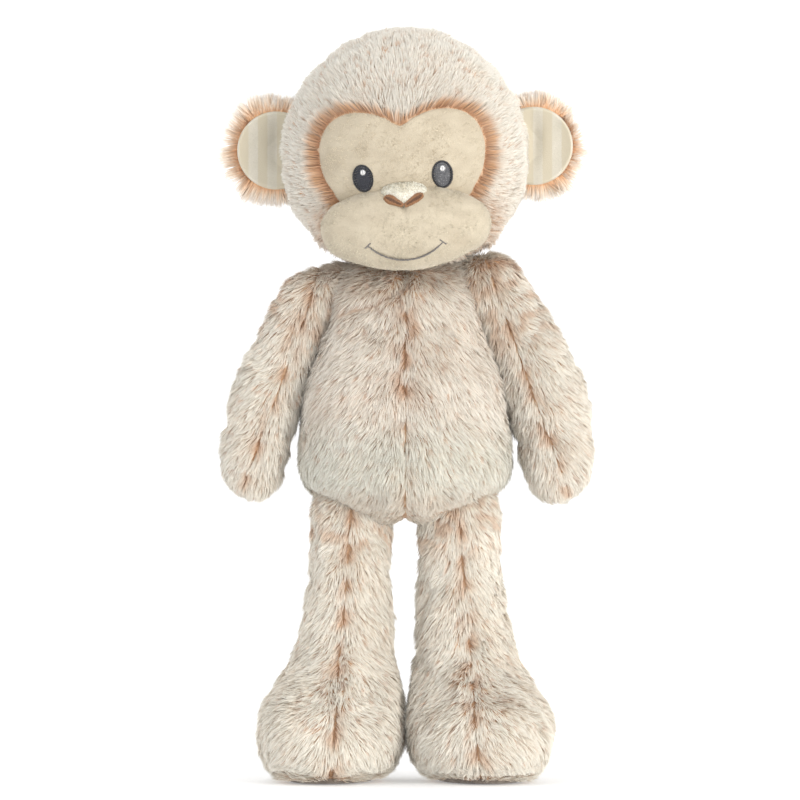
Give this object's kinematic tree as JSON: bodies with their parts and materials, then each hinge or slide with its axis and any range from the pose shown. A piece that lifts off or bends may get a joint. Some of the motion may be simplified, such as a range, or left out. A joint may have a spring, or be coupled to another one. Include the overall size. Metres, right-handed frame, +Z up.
{
  "type": "stuffed monkey",
  "caption": "Standing plush monkey of long-pile fur with a velour face, striped ears, hanging arms and big feet; head, ears, arms and legs move at their seams.",
  "frame": {"origin": "on the ground between the two feet, below the centre of the head", "axes": "+Z up, the toy faces -Y, and its own left side is at +X"},
  "size_m": [0.1724, 0.1196, 0.355],
  "materials": {
    "stuffing": "polyester fibre",
    "striped_lining": "short pile with stripes",
    "velour": "short velour",
    "nose_pile": "matte",
    "brown_thread": "matte",
    "grey_thread": "matte",
    "eye_outline_thread": "matte",
    "eye_fill_thread": "matte",
    "white_thread": "matte",
    "sole_fabric": "matte",
    "ribbon": "matte",
    "seam_thread": "matte",
    "fur_fabric": "long-pile fur, cream tips on rust-brown roots"
  },
  "bodies": {
    "torso": {"torso_stuffing": "stuffing", "torso_front_left": "fur_fabric", "torso_front_right": "fur_fabric", "torso_back_left": "fur_fabric", "torso_back_right": "fur_fabric", "closing_stitches": "seam_thread", "care_label": "ribbon"},
    "neck": {"neck_seam": "seam_thread"},
    "head": {"head_stuffing": "stuffing", "hood_left": "fur_fabric", "hood_right": "fur_fabric", "brow_panel": "velour", "muzzle_panel": "velour", "nose_patch": "nose_pile", "nostrils": "brown_thread", "mouth_stitch": "grey_thread", "eye_outline_left": "eye_outline_thread", "eye_outline_right": "eye_outline_thread", "eye_fill_left": "eye_fill_thread", "eye_fill_right": "eye_fill_thread", "eye_highlight_left": "white_thread", "eye_highlight_right": "white_thread"},
    "ear_left": {"ear_wadding_left": "stuffing", "ear_lining_left": "striped_lining", "ear_back_left": "fur_fabric"},
    "shoulder_left": {"shoulder_seam_left": "seam_thread"},
    "arm_left": {"arm_stuffing_left": "stuffing", "arm_inner_left": "fur_fabric", "arm_outer_left": "fur_fabric"},
    "leg_left": {"leg_stuffing_left": "stuffing", "leg_inner_left": "fur_fabric", "leg_outer_left": "fur_fabric", "sole_left": "sole_fabric"},
    "ear_right": {"ear_wadding_right": "stuffing", "ear_lining_right": "striped_lining", "ear_back_right": "fur_fabric"},
    "shoulder_right": {"shoulder_seam_right": "seam_thread"},
    "arm_right": {"arm_stuffing_right": "stuffing", "arm_inner_right": "fur_fabric", "arm_outer_right": "fur_fabric"},
    "leg_right": {"leg_stuffing_right": "stuffing", "leg_inner_right": "fur_fabric", "leg_outer_right": "fur_fabric", "sole_right": "sole_fabric"}
  },
  "joints": [
    {"name": "head_turn", "type": "hinge", "parent": "torso", "child": "neck", "pos_m": [0, 0.003, 0.25], "axis": [0, 0, 1], "range_deg": [-35, 35], "stiffness_Nm_per_rad": 0.4},
    {"name": "head_nod", "type": "hinge", "parent": "neck", "child": "head", "pos_m": [0, 0.003, 0.25], "axis": [1, 0, 0], "range_deg": [-12, 12], "stiffness_Nm_per_rad": 1},
    {"name": "ear_fold_left", "type": "hinge", "parent": "head", "child": "ear_left", "pos_m": [0.0622, 0.003, 0.3006], "axis": [0, 0, -1], "range_deg": [-40, 70], "stiffness_Nm_per_rad": 0.01},
    {"name": "arm_swing_left", "type": "hinge", "parent": "torso", "child": "shoulder_left", "pos_m": [0.0447, 0, 0.2265], "axis": [-1, 0, 0], "range_deg": [-45, 110], "stiffness_Nm_per_rad": 0.03},
    {"name": "arm_lift_left", "type": "hinge", "parent": "shoulder_left", "child": "arm_left", "pos_m": [0.0447, 0, 0.2265], "axis": [0, -1, 0], "range_deg": [0, 75], "stiffness_Nm_per_rad": 0.03},
    {"name": "leg_swing_left", "type": "hinge", "parent": "torso", "child": "leg_left", "pos_m": [0.0255, 0, 0.127], "axis": [-1, 0, 0], "range_deg": [-20, 90], "stiffness_Nm_per_rad": 1.5},
    {"name": "ear_fold_right", "type": "hinge", "parent": "head", "child": "ear_right", "pos_m": [-0.0622, 0.003, 0.2984], "axis": [0, 0, 1], "range_deg": [-40, 70], "stiffness_Nm_per_rad": 0.01},
    {"name": "arm_swing_right", "type": "hinge", "parent": "torso", "child": "shoulder_right", "pos_m": [-0.0447, 0, 0.2265], "axis": [-1, 0, 0], "range_deg": [-45, 110], "stiffness_Nm_per_rad": 0.03},
    {"name": "arm_lift_right", "type": "hinge", "parent": "shoulder_right", "child": "arm_right", "pos_m": [-0.0447, 0, 0.2265], "axis": [0, 1, 0], "range_deg": [0, 75], "stiffness_Nm_per_rad": 0.03},
    {"name": "leg_swing_right", "type": "hinge", "parent": "torso", "child": "leg_right", "pos_m": [-0.0255, 0, 0.127], "axis": [-1, 0, 0], "range_deg": [-20, 90], "stiffness_Nm_per_rad": 1.5}
  ]
}
